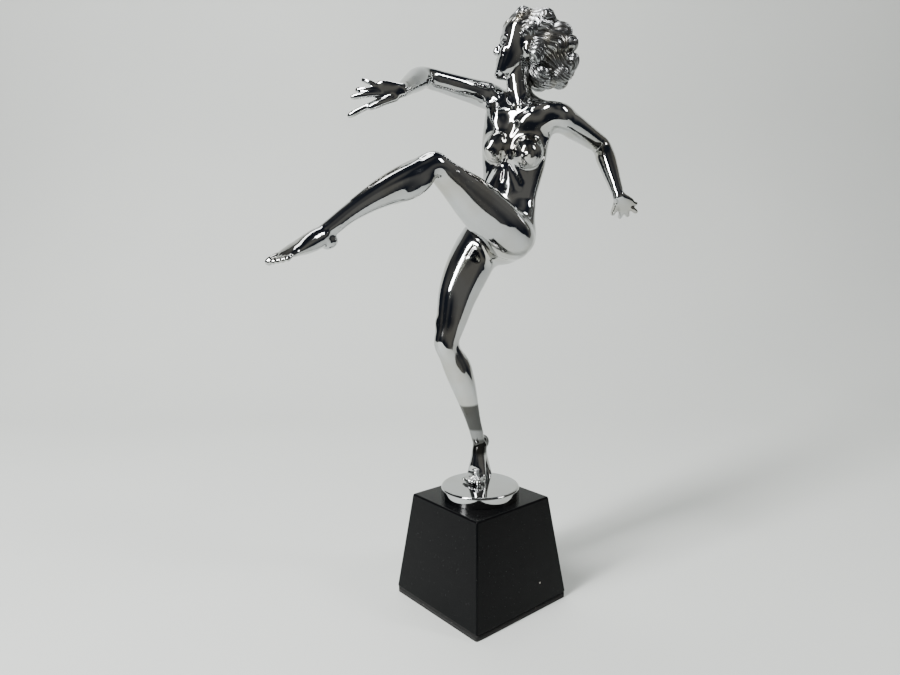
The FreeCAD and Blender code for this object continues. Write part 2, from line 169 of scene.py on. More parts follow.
def swelling(bm, centre, x_way, y_way, radii):
    """Egg-shaped mass whose half-lengths lie along x_way, y_way and square to both."""
    x = Vector(x_way).normalized()
    y = (Vector(y_way) - x * x.dot(y_way)).normalized()
    place = Matrix((x, y, x.cross(y))).transposed().to_4x4()
    place.translation = centre
    shape = place @ Matrix.Diagonal((*radii, 1))
    form = bmesh.new()
    bmesh.ops.create_uvsphere(form, u_segments=40, v_segments=24, radius=1, matrix=shape)
    add_to(bm, form)


def digit(bm, points, radii, front_way, flat=0.9):
    """Finger or toe through joints, each with its radius, closed with a round end."""
    keys = []
    for i, (point, radius) in enumerate(zip(points, radii)):
        ahead = points[min(i + 1, len(points) - 1)] - points[max(i - 1, 0)]
        keys.append(key(point, ahead, front_way, radius, radius * flat, radius * flat))
    way = (points[-1] - points[-2]).normalized()
    last = radii[-1]
    for reach, share in ((0.55, 0.86), (0.85, 0.58), (1.0, 0.12)):
        size = last * share
        keys.append(key(points[-1] + way * last * reach, way, front_way, size, size * flat, size * flat))
    loft(bm, keys, step=0.5, segments=20)


# ---- the figure's masses
CHEST_AHEAD = toward(28, 5)
CHEST_SIDE = toward(118, 0)
CHEST = V(9.2, 22.2, 289)


def chest_place(left, ahead, rise):
    """A place on the rib cage: millimetres to her left, ahead and up from its middle."""
    return CHEST + CHEST_SIDE * left + toward(28, 0) * ahead + V(0.2, 0, 1) * rise


def trunk(bm):
    lean = V(0.18, 0, 0.98)
    tilt = V(0.26, -0.04, 0.96)
    loft(bm, [
        *keys_along(UP, toward(0, 0), ((3, 15, 214.5), 5, 4, 5), ((3, 15, 218), 13, 9, 12),
                    ((3, 15, 225), 22.5, 13, 17.5), ((3, 15, 233), 25.0, 14.5, 19)),
        key((3.2, 16, 241), UP, toward(2, 0), 23.4, 14.0, 17.0),
        key((4.4, 18.1, 249), UP, toward(5, 0), 21.4, 12.8, 13.8),
        key((5.6, 19.9, 258), lean, toward(10, 0), 19.0, 12.2, 11.8),
        key((6.8, 20.9, 267), lean, toward(16, 2), 19.2, 12.9, 12.4),
        key((8.0, 21.5, 278), lean, toward(23, 4), 20.4, 14.0, 13.4),
        *keys_along(tilt, CHEST_AHEAD, ((8.9, 21.8, 289), 21.2, 14.0, 14.6),
                    ((10.3, 23.0, 299), 21.4, 12.2, 14.4), ((11.2, 23.8, 306.5), 18.6, 9.4, 12),
                    ((11.8, 24.2, 312), 12.0, 8.2, 9.6), ((12, 24.4, 315.5), 7.5, 7.0, 8)),
    ])
    loft(bm, keys_along(
        NECK_WAY, FACE_WAY,
        (NECK - NECK_WAY * 5, 11.5, 8.5, 10.5), (NECK, 8.6, 7.8, 9.0),
        (NECK + NECK_WAY * 6, 7.6, 7.6, 8.0), (NECK_CUT + NECK_WAY * 4, 7.3, 7.5, 7.7)))
    for at, spread in ((V(7.4, 8.6, 285.4), 8), (V(23.6, 17.4, 281.2), 46)):
        out = toward(spread, -4)
        swelling(bm, at, out, UP, (8.2, 9.8, 9.4))
        swelling(bm, at + out * 3.2 + UP * -1.0, out, UP, (6.6, 7.6, 7.2))
        swelling(bm, at + out * 9.0 + UP * -1.6, out, UP, (1.9, 1.5, 1.5))
    swelling(bm, V(5.6, 10.5, 243.5), UP, SIDE, (12, 11, 7.4))
    for hip, at, radii in ((HIP_R, toward(-150, -30) * 8.5, (14.0, 13.2, 12.6)),
                           (HIP_L, V(-3.0, 2.5, -2.0), (12.0, 10.5, 11.0))):
        swelling(bm, hip + at, UP, SIDE, radii)


def upper_back_and_chest(bm):
    """Muscles that carry the shoulders over onto the trunk and neck."""
    for joint, turn in ((SHOULDER_R, -1), (SHOULDER_L, 1)):
        neck_side = NECK + NECK_WAY * 7 + CHEST_SIDE * (turn * 3.0) - CHEST_AHEAD * 2.5
        over = joint + V(0, 1.0, 3.6) - CHEST_SIDE * (turn * 2)
        way = (over - neck_side).normalized()
        loft(bm, keys_along(
            way, UP,
            (neck_side, 4.6, 4.0, 5.0),
            (neck_side.lerp(over, 0.35) - UP * 1.6, 6.5, 4.0, 6.0),
            (neck_side.lerp(over, 0.7) - UP * 1.2, 7.0, 4.2, 6.0),
            (over, 6.0, 4.0, 6.0)))
        front = chest_place(turn * 10.5, 7.0, 10.5)
        swelling(bm, front.lerp(joint, 0.25), joint - front, CHEST_AHEAD, (13.5, 5.6, 8.0))
        swelling(bm, chest_place(turn * 10.0, -9.5, 8.0), CHEST_SIDE, UP, (7.8, 12.0, 6.2))
        armpit = chest_place(turn * 17.0, -1.5, 9.0)
        loft(bm, keys_along(
            UP, CHEST_AHEAD,
            (armpit.lerp(joint, 0.3) - CHEST_AHEAD * 2, 5.0, 6.0, 6.0),
            (armpit, 4.8, 6.5, 7.5),
            (chest_place(turn * 16.2, -2.0, -4.0), 3.6, 6.0, 7.0),
            (chest_place(turn * 14.5, -2.0, -15.0), 2.0, 4.0, 5.0)))


def shoulder(bm, inner, joint, out_way, arm_way):
    """Collar, deltoid and the back of the shoulder, from the chest out to the joint."""
    loft(bm, keys_along(
        out_way, toward(15, 0),
        (inner, 7.0, 7.5, 9.5),
        (inner.lerp(joint, 0.5), 7.6, 7.8, 9.2),
        (joint, 8.0, 8.0, 8.0),
        (joint + out_way * 5.0, 5.4, 5.4, 5.4),
        (joint + out_way * 7.4, 1.2, 1.2, 1.2)))
    swelling(bm, joint + arm_way * 4.5 + out_way * 0.4, arm_way, UP, (12.5, 8.9, 8.7))


def arm(bm, joint, elbow, wrist, front_way, outer_way):
    """Upper arm and forearm on one easy curve; outer_way is the side the elbow points to."""
    upper = (elbow - joint).normalized()
    fore = (wrist - elbow).normalized()
    bend = (upper + fore).normalized()
    inward = (fore - upper).normalized()
    reach = (wrist - elbow).length
    upper_arm = keys_along(
        upper, front_way,
        (joint - upper * 4, 7.2, 7.4, 7.4), (joint + upper * 4, 8.2, 8.4, 8.4),
        (joint + upper * 14, 7.5, 8.0, 7.9), (joint + upper * 26, 6.6, 7.3, 7.1))
    forearm = keys_along(
        fore, front_way,
        (elbow + fore * 20, 6.0, 5.4, 5.5), (elbow + fore * 32, 4.8, 4.2, 4.3),
        (elbow + fore * (reach - 3), 4.2, 3.5, 3.6), (wrist + fore * 2.5, 3.4, 3.0, 3.0))
    loft(bm, [
        *upper_arm,
        key(elbow - upper * 11, (upper * 2 + fore * 0.3).normalized(), front_way, 6.1, 6.4, 6.4),
        key(elbow + inward * 1.3, bend, front_way, 6.3, 6.0, 6.2),
        key(elbow + fore * 10, (fore * 2 + upper * 0.3).normalized(), front_way, 6.7, 6.1, 6.3),
        *forearm,
    ])
    swelling(bm, joint + upper * 24 - outer_way * 0.8, upper, outer_way, (13, 6.0, 5.6))
    swelling(bm, elbow + fore * 9 + outer_way * 0.8, fore, outer_way, (12, 5.6, 5.6))


def leg(bm, hip, knee, ankle, thigh_front, shank_front, thigh_bow, shank_bow, knee_back):
    """Thigh and shank; each bow is how far its middle stands forward of the straight line."""
    thigh = (knee - hip).normalized()
    shank = (ankle - knee).normalized()
    bend = (thigh + shank).normalized()
    middle = (thigh_front + shank_front).normalized()

    def thigh_key(at, wide, front, back):
        centre = hip + thigh * at + thigh_front * (thigh_bow * math.sin(math.pi * max(at, 0) / THIGH))
        return key(centre, thigh, thigh_front, wide, front, back)

    def shank_key(at, wide, front, back):
        centre = knee + shank * at + shank_front * (shank_bow * math.sin(math.pi * at / SHANK))
        return key(centre, shank, shank_front, wide, front, back)

    loft(bm, [
        thigh_key(-7, 10.5, 11.0, 12.0), thigh_key(3, 14.4, 12.6, 15.6), thigh_key(15, 15.2, 13.2, 16.2),
        thigh_key(30, 14.0, 13.3, 14.3), thigh_key(44, 12.0, 12.6, 11.6),
        thigh_key(57, 10.2, 10.2, knee_back + 2.6),
        thigh_key(66, 8.8, 8.8, knee_back + 0.8),
        key(knee, bend, middle, 8.1, 8.6, knee_back),
        shank_key(8, 7.9, 8.0, knee_back + 0.8),
        shank_key(20, 8.7, 7.4, 10.2), shank_key(33, 7.8, 6.5, 8.6), shank_key(46, 6.0, 5.5, 6.2),
        shank_key(58, 4.7, 4.8, 4.4), shank_key(SHANK - 4, 4.3, 4.5, 4.0),
        key(ankle + shank * 3, shank, shank_front, 4.1, 4.3, 4.0),
    ])
    side = shank.cross(shank_front)
    swelling(bm, knee + middle * 3.9 + shank * 0.5, bend, middle, (5.8, 5.0, 5.2))
    for turn, drop in ((-1, 17), (1, 20)):
        calf = knee + shank * drop + shank_front * (shank_bow * 0.6 - 4.2) + side * (turn * 2.7)
        swelling(bm, calf, shank, shank_front, (15, 6.2, 6.0))
        above_knee = hip + thigh * (THIGH - 15) + thigh_front * (thigh_bow * 0.5 + 3.2) + side * (turn * 4.2)
        swelling(bm, above_knee, thigh, thigh_front, (11, 5.6, 5.2))


def foot(bm, ankle, way, toe_way, dorsal_way, big_toe_side):
    """Heel, instep and toes; big_toe_side is 1 where the big toe is on her left."""
    dorsal = (dorsal_way - way * dorsal_way.dot(way)).normalized()
    side = dorsal.cross(way)
    if side.x * big_toe_side < 0:
        side = -side
    ball = ankle + way * BALL_REACH
    roll = (way + toe_way).normalized()
    toe_top = (dorsal_way - toe_way * dorsal_way.dot(toe_way)).normalized()
    if toe_way.z > -0.1:
        toe_top = UP
    loft(bm, [
        *keys_along(way, dorsal, (ankle - way * 5 - dorsal * 0.5, 3.8, 4.0, 4.0),
                    (ankle + way * 1, 4.6, 4.8, 5.2), (ankle + way * 8, 4.9, 4.6, 5.2),
                    (ankle + way * 14.5, 5.8, 3.7, 4.2)),
        key(ball, roll, (dorsal + toe_top).normalized(), 6.9, 2.9, 2.7),
        *keys_along(toe_way, toe_top, (ball + toe_way * 3.2, 6.7, 2.0, 2.0),
                    (ball + toe_way * 5.0, 5.6, 1.3, 1.5)),
    ], segments=40)
    swelling(bm, ankle - way * 2.2 - dorsal * 3.9, way, dorsal, (5.0, 4.0, 4.3))
    for turn in (-1, 1):
        swelling(bm, ankle + side * (turn * 3.1), way, dorsal, (2.6, 2.4, 2.1))
    for i in range(5):
        size = 2.15 if i == 0 else 1.55 - 0.07 * i
        across = (5.2, 1.75, -0.95, -3.35, -5.5)[i]
        reach = (7.6, 8.0, 7.3, 6.3, 5.0)[i]
        root = ball + side * across + toe_way * 1.5 - toe_top * 0.5
        tip = root + toe_way * reach + side * (0.25 if i == 0 else -0.05 * i) - toe_top * 0.2
        middle = root.lerp(tip, 0.55) + toe_top * 0.5
        digit(bm, [root, middle, tip], [size * 0.95, size * 0.85, size], toe_top)


def hand(bm, wrist, way, back_way, across_way, fingers, thumb):
    """Palm, four fingers and thumb; each digit is its root, knuckles and tip measured from the wrist."""
    across = (across_way - way * across_way.dot(way)).normalized()
    loft(bm, keys_along(
        way, back_way,
        (wrist - way * 2.5, 3.6, 3.2, 3.2), (wrist + way * 2, 4.3, 2.9, 3.1),
        (wrist + way * 7, 5.5, 2.5, 2.9), (wrist + way * 11, 5.9, 2.1, 2.3),
        (wrist + way * 13, 5.0, 1.4, 1.6)), step=1.0)
    for i, (knuckle, middle, tip) in enumerate(fingers):
        size = 1.75 if i else 1.5
        root = wrist + way * 8 + across * ((i - 1.5) * 2.8)
        points = [root, wrist + knuckle, wrist + middle, wrist + tip]
        digit(bm, points, [size * 1.1, size, size * 0.92, size * 0.8], back_way)
    root = wrist + way * 3 + across * 3.2
    points = [root, wrist + thumb[0], wrist + thumb[1]]
    digit(bm, points, [2.4, 1.9, 1.5], back_way)


def right_hand(bm):
    left, down, near = HAND_R_WAY, -UP, toward(50, 0)
    fingers = []
    for reach, drop, near_by in ((20.5, -7.0, -1.5), (23.5, -1.8, -0.5), (26.0, 2.0, 1.0), (28.0, 11.2, 0.5)):
        tip = left * reach + down * drop + near * near_by
        knuckle = left * 12.5 + down * (drop * 0.45 + 0.4) + near * (near_by * 0.4 + 0.9)
        middle = knuckle.lerp(tip, 0.52) + near * 0.8
        fingers.append((knuckle, middle, tip))
    thumb = (left * 9 + down * 6.0 + near * 3.2, left * 16.5 + down * 8.6 + near * 3.6)
    hand(bm, WRIST_R, left, near, down, fingers, thumb)


def left_hand(bm):
    way = HAND_L_WAY
    across = V(-0.62, -0.57, -0.54)
    back_way = way.cross(across).normalized() * -1
    tips = [V(1.1, 16.5, -3.5), V(1.3, 16.0, -8.5), V(-3.0, 13.5, -10.5), V(-6.5, 10.5, -11.5)]
    fingers = []
    for i, tip in enumerate(tips):
        knuckle = way * 10.0 + across * ((i - 1.5) * 2.6)
        middle = knuckle.lerp(tip, 0.55) + back_way * 0.8
        fingers.append((knuckle, middle, tip))
    thumb = (V(-4.6, 2.6, -6.0), V(-7.6, 4.5, -9.6))
    hand(bm, WRIST_L, way, back_way, across, fingers, thumb)


def figure_masses(bm):
    trunk(bm)
    upper_back_and_chest(bm)
    shoulder(bm, V(3, 23, 312), SHOULDER_R, V(-0.8, -0.25, 0.42).normalized(), ARM_R_WAY)
    shoulder(bm, V(21, 27, 306), SHOULDER_L, V(0.93, 0.30, -0.18).normalized(), ARM_L_WAY)
    arm(bm, SHOULDER_R, ELBOW_R, WRIST_R, toward(60, 10), UP)
    arm(bm, SHOULDER_L, ELBOW_L, WRIST_L, toward(100, 20), toward(180, 40))
    right_hand(bm)
    left_hand(bm)
    leg(bm, HIP_R, KNEE_R, ANKLE_R, toward(0, 23), toward(8, 20), 3.6, -2.2, 7.0)
    leg(bm, HIP_L, KNEE_L, ANKLE_L, toward(180, 60), toward(0, 60), 0.5, 3.3, 5.4)
    foot(bm, ANKLE_R, FOOT_R_WAY, toward(FOOT_R_HEADING, 0), toward(FOOT_R_HEADING, 40), 1)
    foot(bm, ANKLE_L, FOOT_L_WAY, FOOT_L_WAY, UP, -1)


# ---- one skin, then the finishing
def new_piece(name, bm):
    mesh = bpy.data.meshes.new(name)
    bm.to_mesh(mesh)
    bm.free()
    piece = bpy.data.objects.new(name, mesh)
    bpy.context.scene.collection.objects.link(piece)
    return piece


def apply_modifiers(piece):
    done = bpy.data.meshes.new_from_object(piece.evaluated_get(bpy.context.evaluated_depsgraph_get()))
    piece.modifiers.clear()
    old = piece.data
    piece.data = done
    bpy.data.meshes.remove(old)


def one_skin(piece, voxel):
    """Turns overlapping closed masses into a single even skin."""
    remesh = piece.modifiers.new("skin", "REMESH")
    remesh.mode = "VOXEL"
    remesh.voxel_size = voxel
    remesh.use_smooth_shade = True
    apply_modifiers(piece)


class Skin:
    """A mesh's points as an array, for smoothing and small sculpted moves along the normals."""

    def __init__(self, piece):
        self.mesh = piece.data
        count = len(self.mesh.vertices)
        self.co = np.empty(count * 3)
        self.mesh.vertices.foreach_get("co", self.co)
        self.co = self.co.reshape(-1, 3)
        ends = np.empty(len(self.mesh.edges) * 2, int)
        self.mesh.edges.foreach_get("vertices", ends)
        self.ends = ends.reshape(-1, 2)
        self.degree = np.maximum(np.bincount(ends, minlength=count), 1)[:, None]

    def average(self):
        total = np.zeros_like(self.co)
        a, b = self.ends[:, 0], self.ends[:, 1]
        for k in range(3):
            total[:, k] = (np.bincount(a, self.co[b, k], len(self.co))
                           + np.bincount(b, self.co[a, k], len(self.co)))
        return total / self.degree

    def smooth(self, rounds, weight=1.0, keep_size=True):
        """Evens the surface; with keep_size each inward pass is followed by an outward one."""
        for _ in range(rounds):
            self.co += 0.5 * weight * (self.average() - self.co)
            if keep_size:
                self.co -= 0.52 * weight * (self.average() - self.co)

    def blend(self, point, radius, rounds, strength=1.0):
        """Melts the masses together round point, fading out to nothing at radius."""
        weight = self.near(point, radius)[:, 0] * strength
        chosen = np.flatnonzero(weight > 0)
        local = np.full(len(self.co), -1)
        local[chosen] = np.arange(len(chosen))
        ends = self.ends[(local[self.ends] >= 0).any(axis=1)]
        ring = np.unique(ends)
        local[:] = -1
        local[ring] = np.arange(len(ring))
        a, b = local[ends].T
        co, soft = self.co[ring], weight[ring][:, None] * 0.5
        degree = np.maximum(np.bincount(a, minlength=len(ring)) + np.bincount(b, minlength=len(ring)), 1)
        for _ in range(rounds):
            total = np.stack([np.bincount(a, co[b, k], len(ring)) + np.bincount(b, co[a, k], len(ring))
                              for k in range(3)], axis=1)
            co = co + soft * (total / degree[:, None] - co)
        self.co[ring] = co

    def near(self, point, radius):
        """Soft weight, 1 at point and 0 from radius on."""
        return self.near_line(point, point, radius)

    def on_skin(self, inside, way):
        """The outermost skin point met going from inside along way."""
        way = np.array(Vector(way).normalized())
        arm = self.co - np.array(inside)
        along = arm @ way
        off = np.linalg.norm(arm - along[:, None] * way, axis=1)
        close = np.flatnonzero((off < 1.3) & (along > -12) & (along < 40))
        if not len(close):
            return Vector(self.co[np.argmin(off + np.abs(along))])
        return Vector(self.co[close[np.argmax(along[close])]])

    def near_line(self, a, b, radius):
        """Soft weight, 1 on the line from a to b and 0 from radius on."""
        a, b = np.array(a), np.array(b)
        along = np.clip(((self.co - a) @ (b - a)) / max((b - a) @ (b - a), 1e-9), 0, 1)[:, None]
        far = np.linalg.norm(self.co - (a + along * (b - a)), axis=1) / radius
        return (np.clip(1 - far**2, 0, 1) ** 2)[:, None]

    def normals(self):
        self.write()
        out = np.empty(len(self.co) * 3)
        self.mesh.vertices.foreach_get("normal", out)
        return out.reshape(-1, 3)

    def raise_line(self, points, radius, height):
        """Ridge (or, with a negative height, a groove) along a line of points on the surface."""
        normals = self.normals()
        weight = np.zeros((len(self.co), 1))
        for a, b in zip(points, points[1:]):
            weight = np.maximum(weight, self.near_line(a, b, radius))
        self.co += normals * weight * height

    def write(self):
        self.mesh.vertices.foreach_set("co", self.co.ravel())
        self.mesh.update()


FIGURE_VOXEL = 0.62
EVENED_AT = 0.55        # the skin's grain that the numbers of smoothing rounds are for
# where masses are melted together: place, reach and rounds
TRUNK_BLENDS = (
    (SHOULDER_R + V(3, -2, -4), 25, 300), (SHOULDER_L + V(-4, -1, -4), 24, 240),
    (HIP_L + V(0, -3, 4), 26, 130), (HIP_R + V(2, -3, 0), 26, 130),
    (V(3, 20, 221), 24, 220), (V(4, 0, 226), 18, 160),
    (NECK + V(0, 0, -2), 17, 130),
    (chest_place(0, 10, -3), 15, 70), (chest_place(0, -12, 4), 20, 120),
    (chest_place(17, 0, 2), 18, 120), (chest_place(-17, 0, 2), 18, 120),
    (chest_place(0, 6, 16), 16, 80), (chest_place(-10, 12, 7), 10, 80),
    (chest_place(10, 12, 5), 10, 80),
    (chest_place(-9, 13, -3), 14, 40), (chest_place(10, 13, -6), 14, 40),
)
LIMB_BLENDS = (
    (ELBOW_R, 17, 90), (ELBOW_L, 17, 90), (KNEE_L, 18, 110), (KNEE_R, 18, 90),
    (WRIST_R, 8, 30), (WRIST_L, 8, 30), (ANKLE_L, 8, 30), (ANKLE_R, 8, 30),
)


def finish_figure(piece):
    """Blends the limbs into the trunk and puts in the body's small forms."""
    one_skin(piece, FIGURE_VOXEL)
    skin = Skin(piece)
    even = (EVENED_AT / FIGURE_VOXEL) ** 2
    for point, radius, rounds in TRUNK_BLENDS:
        skin.blend(point, radius, round(rounds * even), 0.95)
    for point, radius, rounds in LIMB_BLENDS:
        skin.blend(point, radius, round(rounds * even), 0.85)
    for hip, knee, ankle in ((HIP_R, KNEE_R, ANKLE_R), (HIP_L, KNEE_L, ANKLE_L)):
        for share in (0.2, 0.42, 0.6):
            skin.blend(knee.lerp(ankle, share), 20, round(60 * even), 0.8)
        for share in (0.5, 0.78):
            skin.blend(hip.lerp(knee, share), 22, round(50 * even), 0.8)
    for joint, elbow, wrist in ((SHOULDER_R, ELBOW_R, WRIST_R), (SHOULDER_L, ELBOW_L, WRIST_L)):
        for share in (0.3, 0.6):
            skin.blend(joint.lerp(elbow, share), 15, round(45 * even), 0.8)
        skin.blend(elbow.lerp(wrist, 0.35), 13, round(30 * even), 0.8)
    small_forms(skin)
    skin.smooth(round(12 * even))
    skin.write()


def small_forms(skin):
    """Grooves, creases and ridges of the trunk and limbs."""
    line, on_skin = skin.raise_line, skin.on_skin
    front, rear = CHEST_AHEAD, toward(208, 0)

    def chest_line(places, way):
        return [on_skin(chest_place(*place), way) for place in places]

    notch = on_skin(NECK + UP * -3, front)
    for joint, turn in ((SHOULDER_R, -1), (SHOULDER_L, 1)):
        across = CHEST_SIDE * turn
        middle = on_skin(chest_place(turn * 10, 2, 15), front + UP * 0.5)
        outer = on_skin(joint - across * 4, front + UP * 0.9)
        line([notch + across * 2.5, middle, outer], 2.4, 0.75)
        line([notch + across * 4 + UP * 3.4, middle + UP * 3.4], 2.4, -0.6)
        ear_end = NECK_CUT + NECK_WAY * 6 + across * 6.0 - FACE_WAY * 2
        throat = on_skin(NECK + NECK_WAY * 3, front + across * 0.7)
        line([notch + across * 1.6 + UP * 1.0, throat, ear_end], 2.2, 0.55)
        line(chest_line([(turn * 2.5, 0, -13), (turn * 9, 0, -19), (turn * 14, 0, -25)], front), 3.0, 0.55)
        line(chest_line([(turn * 2.5, 0, -17), (turn * 8, 0, -23), (turn * 12, 0, -29)], front), 3.0, -0.5)
        line(chest_line([(turn * 5.5, -3, 15), (turn * 6.5, -3, 0), (turn * 12, -3, -6)], rear), 2.6, 0.55)
    line([notch, notch], 3.0, -0.9)
    line(chest_line([(0, 0, 8), (0, 0, 0), (0, 0, -12)], front), 3.4, -0.75)
    navel = on_skin(V(5.0, 18, 253), toward(8, 0))
    line(chest_line([(0, 0, -14), (-0.5, 0, -24)], front) + [navel], 2.8, -0.65)
    line([navel, on_skin(V(4, 16, 240), toward(4, 0))], 2.6, -0.35)
    line([navel, navel], 2.3, -1.7)
    line(chest_line([(0, 0, 15), (0, 0, 0)], rear)
         + [on_skin(V(6.4, 20, 268), toward(196, 0)), on_skin(V(4.6, 18, 250), toward(186, 0)),
            on_skin(V(3.2, 16, 238), toward(180, 0))], 4.0, -1.1)
    for drop, depth in ((236, -1.2), (231, -2.0), (225, -2.4), (219, -2.0)):
        cleft = on_skin(V(2.6, 14, drop), toward(180, 0))
        line([cleft, cleft - UP * 5], 3.0, depth)
    fold = [on_skin(HIP_R + V(x, 0, -17), toward(180, -8)) for x in (10, 2, -6, -12)]
    line(fold, 2.6, -0.8)
    groin = [on_skin(HIP_L + THIGH_L_WAY * 4 + V(x, 2, 4), V(0.1 * x, -0.35, 0.95)) for x in (-12, -5, 2, 8)]
    line(groin, 3.0, -1.0)
    for hip, knee, ankle, shank_front in ((HIP_R, KNEE_R, ANKLE_R, toward(8, 20)),
                                          (HIP_L, KNEE_L, ANKLE_L, toward(0, 60))):
        shank = (ankle - knee).normalized()
        thigh = (knee - hip).normalized()
        side = shank.cross(shank_front)
        shin = [on_skin(knee + shank * reach, shank_front) for reach in (10, 22, 36, 52)]
        line(shin, 2.2, 0.3)
        for turn in (-1, 1):
            beside = on_skin(knee + side * (turn * 4.5), shank_front + thigh * 0.5)
            line([beside, beside + shank * 5], 3.0, -0.45)
            heel_cord = on_skin(ankle - shank * 9, side * turn - shank_front * 0.55)
            line([heel_cord, heel_cord + shank * 7], 2.2, -0.6)


def island(start):
    """All points joined to start."""
    seen, todo = {start}, [start]
    while todo:
        vert = todo.pop()
        for edge in vert.link_edges:
            other = edge.other_vert(vert)
            if other not in seen:
                seen.add(other)
                todo.append(other)
    return seen


def cut_off(whole, point, way, reach, inside):
    """Cuts a limb off whole at the plane through point and returns it; inside is a place in the limb."""
    close = [f for f in whole.faces if (f.calc_center_median() - point).length < reach]
    verts = {v for f in close for v in f.verts}
    edges = {e for f in close for e in f.edges}
    made = bmesh.ops.bisect_plane(whole, geom=[*verts, *edges, *close], dist=1e-4, plane_co=point,
                                  plane_no=way)
    whole.normal_update()
    whole.verts.ensure_lookup_table()
    skin_normal = whole.verts.layers.float_vector["skin_normal"]
    rim = [e for e in made["geom_cut"] if isinstance(e, bmesh.types.BMEdge)]
    for vert in {v for e in rim for v in e.verts}:
        vert[skin_normal] = vert.normal
    bmesh.ops.split_edges(whole, edges=rim)
    limb = whole.copy()
    for bm, keep_limb in ((whole, False), (limb, True)):
        chosen = island(min(bm.verts, key=lambda v: (v.co - inside).length_squared))
        bmesh.ops.delete(bm, geom=[v for v in bm.verts if (v in chosen) != keep_limb], context="VERTS")
        mouth = [e for e in bm.edges if len(e.link_faces) == 1]
        for edge in mouth:
            edge.smooth = False
        bmesh.ops.contextual_create(bm, geom=mouth)
    return limb


# ---- head
FACE_SIDE = FACE_WAY.cross(UP).normalized()
CROWN_WAY = FACE_SIDE.cross(FACE_WAY).normalized()
HEAD_PLACE = Matrix((FACE_SIDE, FACE_WAY, CROWN_WAY)).transposed().to_4x4()
HEAD_PLACE = Matrix.Translation(HEAD) @ HEAD_PLACE
HEAD_SIZE = 1.04


def head_masses(bm):
    """Skull, jaw, nose, lips and ear about the skull's middle: face to +Y, crown to +Z."""
    ahead = V(0, 1, 0)
    swelling(bm, V(0, -2.0, 4.5), SIDE, ahead, (12.8, 16.2, 14.3))
    loft(bm, keys_along(
        UP, ahead,
        ((0, 9.6, -19.3), 2.5, 2.2, 2.5), ((0, 9.4, -18.2), 5.0, 3.9, 5.5),
        ((0, 8.6, -15.5), 7.2, 4.9, 9.0), ((0, 7.4, -11.5), 9.0, 6.3, 11.0),
        ((0, 6.4, -7.0), 10.4, 7.2, 12.0), ((0, 5.6, -2.0), 11.4, 7.9, 13.0),
        ((0, 5.0, 3.0), 11.9, 8.7, 13.0), ((0, 4.0, 9.0), 12.0, 9.9, 13.0),
        ((0, 2.0, 14.0), 10.5, 9.6, 12.0)), step=1.0, segments=44)
    loft(bm, [
        key((0, 11.8, 1.5), V(0, 0.45, -1), ahead, 1.0, 1.6, 2.0),
        key((0, 13.2, -1.5), V(0, 0.55, -1), ahead, 1.25, 1.9, 2.4),
        key((0, 14.6, -4.0), V(0, 0.4, -1), ahead, 1.8, 2.2, 3.0),
        key((0, 14.6, -5.6), V(0, -0.3, -1), ahead, 2.3, 2.0, 3.0),
        key((0, 13.2, -6.4), V(0, -0.6, -1), ahead, 1.4, 1.0, 2.0),
    ], step=0.6, segments=24)
    for turn in (-1, 1):
        swelling(bm, V(turn * 1.9, 12.9, -5.5), SIDE, ahead, (1.2, 1.9, 1.15))
        swelling(bm, V(turn * 5.6, 9.4, -5.6), SIDE, ahead, (4.3, 3.7, 4.6))
        swelling(bm, V(turn * 4.6, 9.3, -0.2), SIDE, ahead, (3.1, 3.0, 2.5))
        swelling(bm, V(turn * 12.4, -2.2, -2.6), V(turn * 0.25, -1, 0.1), UP, (2.7, 4.4, 1.2))
    swelling(bm, V(0, 12.8, -9.0), SIDE, ahead, (3.5, 1.5, 0.85))
    swelling(bm, V(0, 12.4, -10.9), SIDE, ahead, (3.0, 1.6, 1.0))
    swelling(bm, V(0, 9.8, -16.6), SIDE, ahead, (3.6, 3.4, 2.8))


# places on her left side, the line's reach and its height: brow, fold over the lid, hollow under the eye,
# upper lid, gap of the eye, lower lid, wing of the nose, ear
PAIRED_FACE_LINES = (
    (((1.8, 14.0, 2.6), (4.8, 13.6, 4.0), (8.2, 11.2, 3.0)), 1.8, 0.45),
    (((2.0, 13.0, 0.8), (4.8, 13.4, 2.0), (7.8, 11.2, 0.9)), 1.3, -0.75),
    (((2.4, 12.6, -2.2), (5.0, 12.8, -2.9), (7.4, 11.2, -2.0)), 1.4, -0.55),
    (((2.3, 12.4, -0.3), (4.8, 13.2, 0.6), (7.2, 11.0, -0.2)), 0.8, 0.5),
    (((2.5, 12.4, -0.8), (4.8, 12.9, -1.0), (7.0, 11.2, -0.7)), 0.6, -0.5),
    (((2.6, 12.4, -1.7), (4.8, 12.9, -2.0), (6.8, 11.2, -1.6)), 0.6, 0.22),
    (((2.6, 13.4, -4.6), (3.2, 12.9, -6.0)), 0.7, -0.35),
    (((12.6, -2.2, -2.0), (12.6, -2.6, -5.0)), 1.4, -0.7),
)
# parting of the lips, hollow over the chin, groove under the nose
MIDDLE_FACE_LINES = (
    (((-3.4, 12.4, -9.9), (0, 14.2, -10.0), (3.4, 12.4, -9.9)), 0.8, -0.75),
    (((-2.2, 13.0, -12.6), (0, 13.4, -12.9), (2.2, 13.0, -12.6)), 1.2, -0.4),
    (((0, 14.4, -6.9), (0, 14.4, -8.2)), 0.8, -0.3),
)
